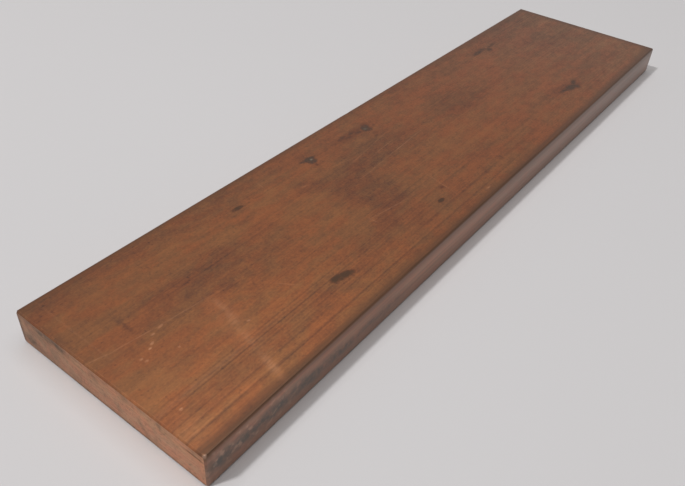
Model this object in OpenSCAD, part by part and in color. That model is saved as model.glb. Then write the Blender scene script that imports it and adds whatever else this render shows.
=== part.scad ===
// Flat bar of solid copper, as drawn through a die and sawn to length.
// It lies on its broad face: X along the bar, Y across it, Z up, origin under its middle.
// All sizes are in millimetres.

/* [Bar] */
// Length from sawn end to sawn end
bar_length = 317.5; // [50:0.5:3660]
// Width across the broad faces
bar_width = 76.2; // [12:0.1:250]
// Thickness between the broad faces
bar_thickness = 12.7; // [4:0.1:50]

/* [Edges] */
// Radius that the die leaves on the four long corners
corner_radius = 0.8; // [0.2:0.05:1.8]
// Width of the bevel filed on the broad edges of each sawn end
end_bevel = 0.5; // [0.1:0.05:1.8]
// Width of the bevel filed on the upright edges of each sawn end
upright_bevel = 0.4; // [0.1:0.05:1.8]

/* [Hidden] */
copper_brown = "#8f5638";
// Facets that a drawn corner's circle is previewed with
arc_steps = 64;
// How far the stock and its outlines run past one another where they meet
overrun = 2;

// Middle of the thickness, where the three outlines below are centred
mid_height = bar_thickness / 2;

// Cross-section as drawn: a rectangle with its four corners rounded
module drawn_section() {
    square([bar_width, bar_thickness - 2 * corner_radius], center = true);
    square([bar_width - 2 * corner_radius, bar_thickness], center = true);
    for (across = [-1, 1], up = [-1, 1])
        translate([across * (bar_width / 2 - corner_radius), up * (bar_thickness / 2 - corner_radius)])
            circle(r = corner_radius, $fn = arc_steps);
}

// Outline of the bar seen square on, with a 45 degree bevel on each of its four corners
module bevelled_outline(length, breadth, bevel) {
    half_length = length / 2;
    half_breadth = breadth / 2;
    polygon([
        [half_length, half_breadth - bevel],
        [half_length - bevel, half_breadth],
        [bevel - half_length, half_breadth],
        [-half_length, half_breadth - bevel],
        [-half_length, bevel - half_breadth],
        [bevel - half_length, -half_breadth],
        [half_length - bevel, -half_breadth],
        [half_length, bevel - half_breadth]
    ]);
}

// Drawn stock, longer than the bar so that the outlines alone set its ends
module drawn_stock() {
    rotate([90, 0, 90])
        linear_extrude(height = bar_length + 2 * overrun, center = true)
            drawn_section();
}

// Plan of the bar: the upright edges of its sawn ends are bevelled
module sawn_plan() {
    linear_extrude(height = bar_thickness + 2 * overrun, center = true)
        bevelled_outline(bar_length, bar_width, upright_bevel);
}

// Side view of the bar: the broad edges of its sawn ends are bevelled
module sawn_side() {
    rotate([90, 0, 0])
        linear_extrude(height = bar_width + 2 * overrun, center = true)
            bevelled_outline(bar_length, bar_thickness, end_bevel);
}

// The bar: drawn stock, cut to the plan and the side view of the sawn and filed piece
module flat_bar() {
    color(copper_brown)
        translate([0, 0, mid_height])
            intersection() {
                drawn_stock();
                sawn_plan();
                sawn_side();
            }
}

flat_bar();
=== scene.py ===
"""Copper flat bar: the looks of one sawn length of drawn copper stock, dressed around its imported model.

The bar lies on its broad face. X runs along it from the near sawn end to the far one, Y runs across it to
the left and Z is up. Sizes, places and patterns are in millimetres, and go out to Blender in metres.
"""
import math
from collections import namedtuple

import bpy
import numpy as np
from bpy.props import FloatProperty, FloatVectorProperty, IntProperty, PointerProperty
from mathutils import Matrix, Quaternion, Vector


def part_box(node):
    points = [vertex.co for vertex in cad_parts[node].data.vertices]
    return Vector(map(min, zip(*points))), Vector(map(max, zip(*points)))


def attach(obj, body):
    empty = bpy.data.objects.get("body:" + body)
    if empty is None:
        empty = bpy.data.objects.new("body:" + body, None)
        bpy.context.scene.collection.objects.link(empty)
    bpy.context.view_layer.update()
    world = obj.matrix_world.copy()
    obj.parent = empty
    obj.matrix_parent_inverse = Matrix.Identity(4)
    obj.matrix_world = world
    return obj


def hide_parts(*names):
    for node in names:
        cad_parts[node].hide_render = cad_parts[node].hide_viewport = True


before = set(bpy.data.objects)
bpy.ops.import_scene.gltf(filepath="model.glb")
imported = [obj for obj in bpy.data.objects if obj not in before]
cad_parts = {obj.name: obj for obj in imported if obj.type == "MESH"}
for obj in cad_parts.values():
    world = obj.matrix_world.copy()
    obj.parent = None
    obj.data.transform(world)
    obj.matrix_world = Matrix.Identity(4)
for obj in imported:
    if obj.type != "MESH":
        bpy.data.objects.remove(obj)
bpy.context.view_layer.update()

bl_info = {
    "name": "Copper Flat Bar",
    "version": (1, 0, 0),
    "blender": (4, 5, 0),
    "location": "View3D > Sidebar > Flat Bar",
    "description": "Makes a tarnished copper flat bar with drawn faces and sawn ends",
    "category": "Add Mesh",
}

NODE = "flat_bar"
MM = 0.001

# The bar's own sizes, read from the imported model
BOX_LOW, BOX_HIGH = (np.array(corner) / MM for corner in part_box(NODE))
LENGTH, WIDTH, THICKNESS = (float(size) for size in BOX_HIGH - BOX_LOW)
HALF_LENGTH = LENGTH / 2
HALF_WIDTH = WIDTH / 2
MID_HEIGHT = THICKNESS / 2

# The near right top corner, which is pushed in a little and carries a painted highlight
DENTED_CORNER_WITH_HIGHLIGHT = (-HALF_LENGTH, -HALF_WIDTH, THICKNESS)

# A line that the die drew along a broad face: its place across the bar, its depth and half width, where it
# runs, and how much more tarnish lies in it
DrawnLine = namedtuple("DrawnLine", "y depth half_width start end tarnish")
# A stain, patch, scratch or fleck on a face: its middle in the face's two directions, its half sizes, its
# strength, its turn in degrees and the softness of its edge
Mark = namedtuple("Mark", "x y half_length half_width strength turn softness", defaults=(0, 0.9))
# A pattern drawn out along the bar: the length and width of its streaks, and its share in the tarnish
Streak = namedtuple("Streak", "length width share")
# A smooth change over a place or a pattern: where it starts and ends, and its value at both
Fade = namedtuple("Fade", "start end at_start at_end", defaults=(0.0, 1.0))
# A noise: its waves in a millimetre, how many finer layers it has, and their roughness
Grain = namedtuple("Grain", "scale detail roughness")
# How noise moves the edges of marks: the size of its waves along and across, and how far it moves them
RaggedEdge = namedtuple("RaggedEdge", "waves shift")
# Relief from noise: its depth, and the size of its waves in a face's two directions
Ripple = namedtuple("Ripple", "depth first second")
# Part of the bar's surface: its faces, its material's slot and its places in the UV map
Patch = namedtuple("Patch", "faces slot places")

TOP_LINES = (
    DrawnLine(12.1, 0.010, 0.34, -132, -62, 0.17),
    DrawnLine(10.5, 0.010, 0.30, -128, -88, 0.18),
    DrawnLine(6.0, 0.010, 0.26, -120, 20, 0.18),
    DrawnLine(-0.3, 0.010, 0.26, -122, -62, 0.18),
    DrawnLine(-6.1, 0.010, 0.24, -134, -40, 0.14),
    DrawnLine(-9.4, 0.010, 0.24, -116, -70, 0.24),
    DrawnLine(-11.6, 0.010, 0.24, -148, -112, 0.16),
    DrawnLine(-12.6, 0.010, 0.24, -72, 5, 0.16),
    DrawnLine(-14.7, 0.010, 0.26, -120, 0, 0.28),
    DrawnLine(-19.2, 0.010, 0.26, -148, -66, 0.26),
    DrawnLine(-20.2, 0.010, 0.28, -60, 10, 0.24),
    DrawnLine(-21.7, 0.015, 0.32, -172, -78, 0.46),
    DrawnLine(-23.0, 0.010, 0.24, -148, -108, 0.22),
    DrawnLine(-24.0, 0.010, 0.26, -170, -70, 0.24),
    DrawnLine(-26.6, 0.010, 0.24, -172, -140, 0.28),
    DrawnLine(-27.1, 0.010, 0.24, -136, -92, 0.26),
    DrawnLine(-28.1, 0.010, 0.28, -98, -68, 0.32),
    DrawnLine(-28.7, 0.010, 0.30, -76, 25, 0.26),
    DrawnLine(-29.0, 0.015, 0.32, -160, -88, 0.44),
    DrawnLine(-31.9, 0.015, 0.32, -176, -118, 0.50),
    DrawnLine(-32.4, 0.015, 0.32, -134, -58, 0.44),
    DrawnLine(-32.7, 0.015, 0.32, -74, 20, 0.34),
    DrawnLine(-35.4, 0.015, 0.30, -176, -126, 0.38),
    DrawnLine(-36.3, 0.010, 0.60, -190, -122, 0.50),
)
UNDERSIDE_LINES = (
    DrawnLine(27.0, 0.040, 0.50, -170, 90, 0.40),
    DrawnLine(9.5, 0.025, 0.45, -60, 170, 0.25),
    DrawnLine(-4.0, 0.030, 0.50, -170, 20, 0.30),
    DrawnLine(-18.5, 0.035, 0.45, -90, 170, 0.35),
    DrawnLine(-30.0, 0.045, 0.55, -170, 170, 0.45),
)

# How the tarnish of a broad face varies: bands, lines, hair lines, clouds, mottle and grain
FACE_STREAKS = (
    Streak(140.0, 3.4, 0.30),
    Streak(90.0, 0.80, 0.48),
    Streak(90.0, 0.32, 0.66),
    Streak(30.0, 12.0, 0.60),
    Streak(5.0, 3.0, 0.90),
    Streak(0.8, 0.65, 1.24),
)
# Share of the way to the thickest tarnish that a whole tone goes
TARNISH_SPAN = 0.7
# Fine lines from the die, crowded along the right of the near end
CROWDED_LINES = Streak(110.0, 0.50, 0.38)

# Black oxide on the top face
OXIDE_MARKS = (
    Mark(-42.2, 26.6, 2.9, 1.3, 1.0, 0, 0.8),
    Mark(-42.2, 25.2, 2.0, 1.9, 0.95, 0, 0.8),
    Mark(-45.4, 27.2, 1.8, 0.7, 0.70, -8),
    Mark(-42.6, 22.6, 0.7, 1.2, 0.40),
    Mark(-21.6, 26.8, 2.6, 0.8, 0.62, 8),
    Mark(-19.0, 25.0, 2.6, 0.7, 0.56, -6),
    Mark(-15.6, 26.4, 2.4, 0.8, 0.58, 6),
    Mark(-13.4, 24.6, 2.0, 0.8, 0.56, -12),
    Mark(-4.0, 23.6, 2.4, 0.7, 0.40, 4),
    Mark(-8.6, 24.2, 2.3, 2.3, 0.95),
    Mark(-7.5, 26.0, 1.7, 1.0, 0.75, -20),
    Mark(-10.4, 17.8, 2.0, 0.9, 0.42, 10),
    Mark(88.8, 26.6, 4.6, 1.3, 0.80, 2),
    Mark(93.6, 27.2, 3.0, 1.3, 0.66, -12),
    Mark(96.6, 24.5, 1.8, 1.6, 0.76),
    Mark(102.0, 26.2, 5.0, 1.0, 0.62, 6),
    Mark(86.4, -23.9, 4.4, 1.8, 1.0, -8),
    Mark(80.8, -23.0, 3.8, 0.9, 0.8, -12),
    Mark(89.4, -25.8, 2.0, 1.4, 0.8, 20),
    Mark(91.8, -22.7, 3.0, 1.2, 0.8, 14),
)
# Browner oxide there
BROWN_MARKS = (
    Mark(-82.6, 25.0, 2.5, 0.90, 0.90, -4, 0.7),
    Mark(-86.0, -23.5, 4.2, 1.45, 1.0, -14, 0.7),
    Mark(-88.5, -22.9, 2.4, 1.25, 1.0, -12, 0.7),
    Mark(-31.1, -25.5, 1.7, 0.85, 1.0, -4, 0.6),
)
# Spots of red oxide there
RED_MARKS = (
    Mark(-23.9, -21.4, 1.0, 0.65, 0.80, -6, 0.7),
    Mark(-31.1, -25.5, 2.0, 1.1, 0.50, -4, 0.8),
    Mark(-8.4, 19.5, 1.4, 0.8, 0.55),
    Mark(-17.0, 25.5, 7.5, 1.7, 0.42),
    Mark(-6.4, 27.0, 1.8, 0.9, 0.50, -25),
    Mark(-42.8, 21.9, 0.7, 1.1, 0.45),
)
# Pale grey-green specks within the oxide
PALE_SPECKS = (
    Mark(-41.6, 25.9, 0.55, 0.40, 0.40, 0, 0.8),
    Mark(-9.2, 24.3, 0.80, 0.60, 0.16),
)

# Brown tarnish that lies thicker on the top face, in patches and smudges
TARNISH_PATCHES = (
    Mark(-113.0, 9.5, 15.0, 5.5, 0.23, 0, 0.85),
    Mark(-96.0, 11.0, 14.0, 3.0, 0.08),
    Mark(-136.5, -14.5, 8.0, 5.0, 0.15),
    Mark(-90.0, -25.0, 12.0, 2.0, 0.22),
    Mark(-118.0, -24.8, 52.0, 1.8, 0.14),
    Mark(-54.0, -21.5, 17.0, 4.5, 0.31),
    Mark(-50.0, -13.0, 10.0, 2.6, 0.16),
    Mark(-70.0, -26.8, 10.0, 2.4, 0.18),
    Mark(-52.0, -35.0, 40.0, 4.5, 0.14),
    Mark(-30.0, -28.0, 62.0, 1.3, 0.15),
    Mark(40.0, -20.5, 85.0, 1.4, 0.17),
    Mark(128.0, 4.0, 30.0, 16.0, 0.18, 10),
    Mark(74.0, -6.0, 15.0, 6.0, 0.08),
    Mark(111.0, -20.5, 20.0, 4.0, 0.24),
    Mark(105.0, -28.5, 16.0, 2.4, 0.16),
    Mark(60.0, 26.0, 16.0, 4.0, 0.08),
    Mark(105.0, 18.0, 14.0, 3.0, 0.12),
    Mark(117.0, 33.0, 52.0, 6.5, 0.29),
    Mark(-108.0, 31.0, 14.0, 4.0, 0.14),
    Mark(-128.0, 34.8, 42.0, 2.4, 0.17),
    Mark(-137.0, 7.0, 8.0, 3.0, 0.11),
)
# Patches of it with firmer edges
FIRM_PATCHES = (
    Mark(-22.0, 11.5, 24.0, 8.5, 0.24, -6, 0.50),
    Mark(-42.5, -3.0, 10.5, 14.0, 0.27, 0, 0.32),
    Mark(-52.5, 12.5, 9.0, 3.6, 0.19, -35, 0.45),
    Mark(37.0, 10.5, 17.0, 9.5, 0.22, -8, 0.55),
)
# Where it lies thinner
THIN_PATCHES = (
    Mark(-120.0, 22.5, 46.0, 6.0, 0.22),
    Mark(-67.0, 8.0, 11.0, 17.0, 0.23, 0, 0.60),
    Mark(-84.0, 16.5, 18.0, 5.0, 0.31),
    Mark(-71.0, 20.5, 14.0, 5.0, 0.36),
    Mark(-50.0, 20.0, 9.0, 5.0, 0.18),
    Mark(-39.0, 17.5, 3.2, 4.0, 0.26, 0, 0.80),
    Mark(-64.0, -9.0, 12.0, 6.0, 0.14, 0, 0.80),
    Mark(-88.0, -8.0, 13.0, 6.0, 0.15),
    Mark(16.0, 18.0, 14.0, 7.0, 0.12),
    Mark(15.0, -7.0, 16.0, 12.0, 0.20),
    Mark(-140.0, -4.0, 16.0, 6.0, 0.11),
    Mark(-152.0, 14.5, 8.0, 4.0, 0.19),
    Mark(-112.0, -9.0, 24.0, 7.0, 0.15),
    Mark(70.0, -6.0, 90.0, 6.0, 0.11),
    Mark(138.0, -11.0, 14.0, 5.0, 0.17),
    Mark(-130.0, -30.6, 38.0, 1.6, 0.15),
    Mark(-122.0, -13.0, 7.0, 4.5, 0.20),
    Mark(-152.0, -10.5, 8.0, 4.0, 0.18),
    Mark(-30.0, -31.0, 12.0, 1.8, 0.14),
)
# Small smudges of it
TARNISH_SMUDGES = (
    Mark(-142.9, 10.2, 3.6, 0.9, 0.50, 88),
    Mark(-155.0, 27.5, 2.6, 1.6, 0.18),
    Mark(-158.0, 24.0, 1.6, 9.0, 0.34),
    Mark(-153.0, 33.5, 7.0, 3.5, 0.14),
    Mark(-148.0, 20.5, 1.9, 1.2, 0.26),
    Mark(-86.5, 17.7, 2.6, 1.3, 0.40),
    Mark(-127.0, -14.5, 2.0, 1.3, 0.30),
    Mark(-112.0, -0.7, 2.2, 1.1, 0.45),
    Mark(-56.5, 18.0, 2.0, 0.9, 0.26),
    Mark(-14.5, 25.4, 10.0, 2.4, 0.22),
    Mark(84.0, -22.5, 12.0, 2.6, 0.30, -8),
    Mark(9.8, -27.4, 0.9, 1.6, 0.35),
    Mark(-42.0, 29.0, 3.4, 1.6, 0.20),
)

# Places where the top face is lighter: scratches down to brighter copper, and a broad band across it
BRIGHT_MARKS = (
    Mark(-155.2, 5.8, 4.0, 0.20, 0.26, -14),
    Mark(-144.5, 4.0, 8.5, 0.20, 0.22, -8),
    Mark(-126.0, 1.6, 12.0, 0.20, 0.20, -7),
    Mark(-136.5, 2.5, 1.0, 0.38, 0.66, 10, 0.6),
    Mark(-140.0, 1.7, 0.6, 0.35, 0.56, 0, 0.6),
    Mark(-142.3, -0.7, 0.7, 0.38, 0.62, 20, 0.6),
    Mark(-144.0, -1.8, 0.5, 0.35, 0.62, 0, 0.6),
    Mark(-147.5, -4.6, 0.6, 0.38, 0.48, 0, 0.6),
    Mark(-148.0, -3.0, 0.5, 0.35, 0.42, 0, 0.6),
    Mark(-152.5, -23.3, 0.5, 0.38, 0.58, 0, 0.6),
    Mark(-138.5, -7.2, 0.4, 0.40, 0.48, 0, 0.6),
    Mark(-155.5, -30.0, 4.0, 3.5, 0.10),
    Mark(-153.2, 19.0, 16.0, 0.28, 0.10, 90),
    # These five make a broad lighter band across the width, near the near end
    Mark(-119.8, -5.0, 4.0, 1.1, 0.24, 84),
    Mark(-121.2, -10.5, 3.2, 1.5, 0.29, 66),
    Mark(-123.8, -18.5, 5.5, 1.3, 0.20, 76),
    Mark(-122.4, -13.0, 13.0, 3.4, 0.09, 78),
    Mark(-127.1, -30.6, 4.2, 1.2, 0.31, 74),
    Mark(-100.2, -13.0, 3.2, 0.25, 0.22, -55),
    Mark(-139.0, -20.4, 21.0, 0.7, 0.10),
    Mark(-118.8, -14.6, 0.5, 0.38, 0.45, 0, 0.6),
    Mark(-47.4, -14.4, 10.3, 0.22, 0.24, -9),
    Mark(-56.9, -13.8, 1.6, 0.30, 0.30, 90),
    Mark(-30.0, 4.6, 8.5, 0.20, 0.28, 3),
    Mark(-7.6, 6.0, 9.6, 0.20, 0.46, 3),
    Mark(-22.1, -20.4, 7.2, 0.20, 0.28, 77),
    Mark(-12.6, -34.4, 1.5, 0.28, 0.50, 4),
    Mark(-56.5, 16.3, 1.8, 0.35, 0.22, -20),
    Mark(-33.0, 15.2, 3.3, 0.25, 0.16, -14),
    Mark(-28.0, 13.5, 6.0, 0.18, 0.24, 6),
    Mark(-18.0, 10.4, 7.0, 0.18, 0.26, 5),
    Mark(-12.0, 15.6, 5.0, 0.18, 0.22, 8),
    Mark(-67.1, 28.4, 2.0, 0.20, 0.26, 82),
)

# Dark blotches on the right-hand edge, placed along it and up it
EDGE_STAINS = (
    Mark(-153.0, 6.6, 4.5, 3.0, 0.90),
    Mark(-145.0, 6.4, 7.0, 2.6, 0.85, -6),
    Mark(-134.0, 6.0, 9.0, 2.6, 0.90, -4),
    Mark(-120.0, 5.2, 10.0, 2.8, 0.90, -5),
    Mark(-106.0, 5.0, 11.0, 2.6, 0.80, -5),
    Mark(-88.0, 4.8, 16.0, 2.6, 0.62, 0, 0.95),
)

# Stains on the near sawn end, placed across it and up it, and painted shade along its foot
END_STAINS_AND_FOOT_SHADE = (
    Mark(30.0, 11.6, 4.0, 1.0, 0.60),
    Mark(25.0, 11.0, 4.4, 1.6, 0.90, -8),
    Mark(19.0, 11.0, 3.6, 1.3, 0.85, 12),
    Mark(33.6, 9.4, 2.4, 1.0, 0.45, 70),
    Mark(29.0, 8.4, 4.0, 1.6, 0.38),
    Mark(33.0, 3.6, 3.4, 1.8, 0.75),
    Mark(28.5, 2.4, 2.4, 1.0, 0.45),
    Mark(4.0, 9.8, 1.8, 1.1, 0.45, 20),
    Mark(-14.6, 4.2, 3.2, 0.8, 0.35, 60),
    Mark(-21.9, 10.6, 2.0, 0.7, 0.40, 60),
    Mark(-34.0, 10.1, 5.0, 0.40, 0.50, 0, 0.70),
    # Painted shade along the foot, where the end meets the floor
    Mark(0.0, 0.3, 48.0, 0.8, 0.65, 0, 0.80),
    Mark(38.2, 6.3, 1.7, 8.0, 0.75, 0, 0.80),
)


class BarShape(bpy.types.PropertyGroup):
    """Sizes of the bar's edges, and how finely its surface is divided."""

    corner_radius: FloatProperty(
        name="Corner radius", description="Radius that the die leaves on the long corners",
        default=0.8 * MM, unit="LENGTH",
    )
    end_bevel: FloatProperty(
        name="End bevel", description="Width of the bevel filed on the broad edges of a sawn end",
        default=0.5 * MM, unit="LENGTH",
    )
    upright_bevel: FloatProperty(
        name="Upright bevel", description="Width of the bevel filed on the upright edges of a sawn end",
        default=0.4 * MM, unit="LENGTH",
    )
    rows: IntProperty(
        name="Rows", description="Rows of faces along the bar", default=120, min=20,
    )
    columns_across: IntProperty(
        name="Columns across", description="Columns of faces over a broad face", default=200, min=20,
    )
    columns_up: IntProperty(
        name="Columns up", description="Columns of faces up an edge", default=38, min=8,
    )


def colour_value(name, description, default):
    """A colour that can be changed in the panel."""
    return FloatVectorProperty(
        name=name, description=description, default=default, subtype="COLOR", min=0, max=1,
    )


class BarFinish(bpy.types.PropertyGroup):
    """Colours of the copper's finishes."""

    drawn_copper: colour_value(
        "Drawn copper", "Drawn face where it is least tarnished", (0.336, 0.134, 0.058),
    )
    brown_tarnish: colour_value("Brown tarnish", "Drawn face under thick tarnish", (0.088, 0.0428, 0.031))
    rubbed_copper: colour_value("Lighter copper", "Scratches and lighter bands", (0.508, 0.248, 0.130))
    # Also used for the painted contact shade along the foot of the narrow edges
    black_oxide: colour_value("Black oxide", "Middle of the oxide marks, and painted contact shade along the foot of the narrow edges", (0.075, 0.045, 0.031))
    brown_oxide: colour_value("Brown oxide", "Middle of the browner oxide marks", (0.071, 0.037, 0.020))
    red_oxide: colour_value("Red oxide", "Rim of the oxide marks", (0.130, 0.047, 0.027))
    corner_brown: colour_value("Corner brown", "Dark tarnish along the long corners", (0.116, 0.061, 0.037))
    edge_film: colour_value("Edge film", "Grey-pink film on the narrow edges", (0.31, 0.212, 0.176))
    edge_pink: colour_value(
        "Edge pink", "Redder film on the narrow edges towards the near end", (0.395, 0.204, 0.137),
    )
    # Painted light from the floor, which makes the foot of the narrow edges paler
    edge_foot: colour_value("Painted foot light", "Paler foot of the narrow edges, painted light from the floor", (0.39, 0.250, 0.195))
    edge_stain: colour_value(
        "Edge stain", "Blue-grey blotches on the right-hand edge", (0.140, 0.118, 0.102),
    )
    # Also used for the painted shade along the foot of the sawn ends
    end_stain: colour_value("End stain", "Olive-brown stains and painted foot shade on the near sawn end", (0.135, 0.073, 0.037))
    pale_speck: colour_value("Pale speck", "Grey-green specks within the oxide", (0.34, 0.30, 0.22))
    # Painted highlight at the near right top corner, and the pale spots of the right-hand edge
    knocked_copper: colour_value("Pale spots and corner highlight", "Painted highlight at the near right top corner, and pale spots on the right-hand edge", (0.62, 0.40, 0.29))
    sawn_copper: colour_value("Sawn copper", "Sawn ends", (0.58, 0.305, 0.185))


class StudioLook(bpy.types.PropertyGroup):
    """Floor, light and camera."""

    floor_colour: colour_value("Floor", "Colour of the pale floor", (0.610, 0.593, 0.596))
    sky_level: FloatProperty(
        name="Sky level", description="Light from all round", default=0.19, min=0,
    )
    overhead_power: FloatProperty(
        name="Overhead power", description="Power of the wide lamp overhead", default=13.5, unit="POWER",
    )
    overhead_size: FloatProperty(
        name="Overhead size", description="Width of the wide lamp overhead", default=1.6, unit="LENGTH",
    )
    key_power: FloatProperty(
        name="Key power", description="Power of the soft lamp on the left", default=44.0, unit="POWER",
    )
    key_size: FloatProperty(
        name="Key size", description="Width of the soft lamp on the left", default=0.25, unit="LENGTH",
    )
    lens: FloatProperty(
        name="Lens", description="Focal length on a sensor 36 mm wide", default=37.62, unit="CAMERA",
    )


# Relief of a drawn face: fine lines and a slow swell, across and along it
FINE_LINES = Ripple(0.008, 0.8, 90.0)
SWELL = Ripple(0.02, 22.0, 60.0)
# Share of that relief on the narrow edges
EDGE_RELIEF = 0.5
# How narrowly a face's relief keeps to the points that face its way
FACING_POWER = 6

# Marks of the saw on an end, across and up it: how their level wanders, how deep they are, and a fine grit
SAW_WANDER = Ripple(0.35, 17.0, 3.0)
SAW_UNEVEN = Ripple(0.5, 9.0, 1.6)
SAW_GRIT = Ripple(0.012, 0.9, 0.5)
# How far within the bevel the saw's marks reach their full depth
SAW_MARGIN = 0.5
# How unevenly the file left the bevels
FILED_UNEVEN = Ripple(0.22, 9.0, 9.0)

# Seeds of the relief's noise
TOP_SEED = 21
UNDERSIDE_SEED = 31
EDGE_SEED = 41
NICK_SEED = 51
BEVEL_SEED = 61
SAW_SEEDS = (71, 81)

# Steps in each half of a rounded corner
ARC_STEPS = 4

# Material slots of the four sides, from the top round by the right, and of the ends
SIDE_SLOTS = (0, 1, 2, 1)
END_SLOT = 3
# Their rooms up the UV map, and the margin beside each
SIDE_ROOMS = ((0.010, 0.400), (0.770, 0.855), (0.415, 0.755), (0.870, 0.925))
END_ROOM = (0.940, 0.995)
UV_MARGIN = 0.005


def smooth_noise(u, v, seed):
    """Noise from -1 to 1: seeded heights on a unit lattice, blended by smooth steps between its points."""
    cells = 64
    heights = np.random.default_rng(seed).uniform(-1, 1, (cells, cells))
    row, column = np.floor(u).astype(int), np.floor(v).astype(int)
    down, over = u - row, v - column
    down, over = down * down * (3 - 2 * down), over * over * (3 - 2 * over)
    this, following = column % cells, (column + 1) % cells
    near, far = (
        heights[line % cells, this] * (1 - over) + heights[line % cells, following] * over
        for line in (row, row + 1)
    )
    return near * (1 - down) + far * down


def ripple_depth(ripple, first, second, seed):
    """Depth of a ripple: noise of its wave sizes, raised to run from nothing to twice its depth."""
    return ripple.depth * (1 + smooth_noise(first / ripple.first, second / ripple.second, seed))


def section_run(face, flat_steps, radius):
    """One side of the drawn section, as points and outward directions in Y and Z.

    A point is its centre plus the radius times its direction. The direction turns 45 degrees into the side,
    stays at the side's own angle while the centre moves from one corner's centre to the next, and turns 45
    degrees on.
    """
    eighth = math.pi / 4
    reach = np.array([HALF_WIDTH - radius, MID_HEIGHT - radius])
    corners = [np.sign([math.cos(face + turn), math.sin(face + turn)]) * reach for turn in (-eighth, eighth)]
    turning = np.linspace(0, eighth, ARC_STEPS + 1)
    angles = np.concatenate([face - eighth + turning, np.full(flat_steps - 1, face), face + turning])
    moving = np.arange(1, flat_steps) / flat_steps
    share = np.concatenate([np.zeros(ARC_STEPS + 1), moving, np.ones(ARC_STEPS + 1)])
    directions = np.stack([np.cos(angles), np.sin(angles)], -1)
    centres = corners[0] + share[:, None] * (corners[1] - corners[0])
    return centres + radius * directions, directions


def rows_along(bevel, count):
    """Places along the bar: close steps over both bevels, and between them rows that widen along X."""
    steps_in_bevels = np.array([0, 0.08, 0.3, 0.65, 0.92, 1.0, 1.08, 1.3, 1.8, 2.6])
    widening = 0.33
    end_steps = bevel * steps_in_bevels
    share = np.linspace(0, 1, count + 2)[1:-1]
    inner_start = -HALF_LENGTH + end_steps[-1]
    inner_length = LENGTH - 2 * end_steps[-1]
    inner = inner_start + inner_length * ((1 - widening) * share + widening * share ** 2)
    return np.concatenate([-HALF_LENGTH + end_steps, inner, HALF_LENGTH - end_steps[::-1]])


def line_depth(x, y, lines):
    """Depth of the drawn lines: for each, a bell across its width that fades in and out along its run."""
    fade = 14.0
    depth = np.zeros(np.broadcast(x, y).shape)
    for line in lines:
        bell = np.exp(-(((y - line.y) / line.half_width) ** 2))
        run = np.clip((x - line.start) / fade, 0, 1) * np.clip((line.end - x) / fade, 0, 1)
        depth = depth + line.depth * bell * run
    return depth


def face_depth(x, across, lines, seed):
    """Depth of a drawn face's relief: its drawn lines, finer lines stretched along the bar, and a swell."""
    fine = ripple_depth(FINE_LINES, across, x, seed)
    swell = ripple_depth(SWELL, across, x, seed + 1)
    return line_depth(x, across, lines) + fine + swell


def nick_depth(x, seed):
    """Depth of the small dents along a long corner: the peaks of a noise along the bar."""
    deepest = 0.16
    spacing = 3.1
    least_peak = 0.45
    noise = smooth_noise(x / spacing, np.full_like(x, 0.5), seed)
    return deepest * np.clip(noise - least_peak, 0, None)


def relief_depth(x, y, z, up, left):
    """How deep the relief sinks the section: each face's own, by how squarely a point faces that way."""
    on_top = np.clip(up, 0, 1) ** FACING_POWER
    on_under = np.clip(-up, 0, 1) ** FACING_POWER
    on_edge = np.abs(left) ** FACING_POWER
    on_corner = (2 * np.abs(up * left)) ** 2
    depth = on_top * face_depth(x, y, TOP_LINES, TOP_SEED)
    depth = depth + on_under * face_depth(x, y, UNDERSIDE_LINES, UNDERSIDE_SEED)
    depth = depth + EDGE_RELIEF * on_edge * face_depth(x, z, (), EDGE_SEED)
    corner_number = np.where(up > 0, 0, 2) + np.where(left > 0, 0, 1)
    nicks = sum((corner_number == corner) * nick_depth(x, NICK_SEED + corner) for corner in range(4))
    return depth + on_corner * nicks


def saw_depth(y, z, seed):
    """Depth of the saw's marks on an end: waves up it that tilt a little, uneven in depth and pitch."""
    deepest = 0.035
    pitch = 1.05
    tilt = 0.045
    wander = SAW_WANDER.depth * smooth_noise(y / SAW_WANDER.first, z / SAW_WANDER.second, seed)
    level = z + tilt * y + wander
    wave = 0.5 + 0.5 * np.sin(2 * np.pi * level / pitch)
    uneven = ripple_depth(SAW_UNEVEN, y, z, seed + 1)
    return deepest * wave * uneven + ripple_depth(SAW_GRIT, y, z, seed + 2)


def groove_depth(y, z):
    """Depth of the groove scored at the top right of the near end: a bell up it, faded at both its ends."""
    deepest = 0.12
    height = 10.1
    half_width = 0.24
    right_margin = 0.6
    right_fade = 0.8
    left_end = -29.5
    left_fade = 3
    bell = np.exp(-(((z - height) / half_width) ** 2))
    from_right = np.clip((y + HALF_WIDTH - right_margin) / right_fade, 0, 1)
    run = from_right * np.clip((left_end - y) / left_fade, 0, 1)
    return deepest * bell * run


def knock_depth(places):
    """How far the knocked corner is pushed in: most at its point, falling by squares to 0 at the reach."""
    deepest = 0.35
    reach = 1.8
    distance = np.linalg.norm(places - np.array(DENTED_CORNER_WITH_HIGHLIGHT), axis=-1)
    return deepest * np.clip(1 - distance / reach, 0, 1) ** 2


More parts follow.
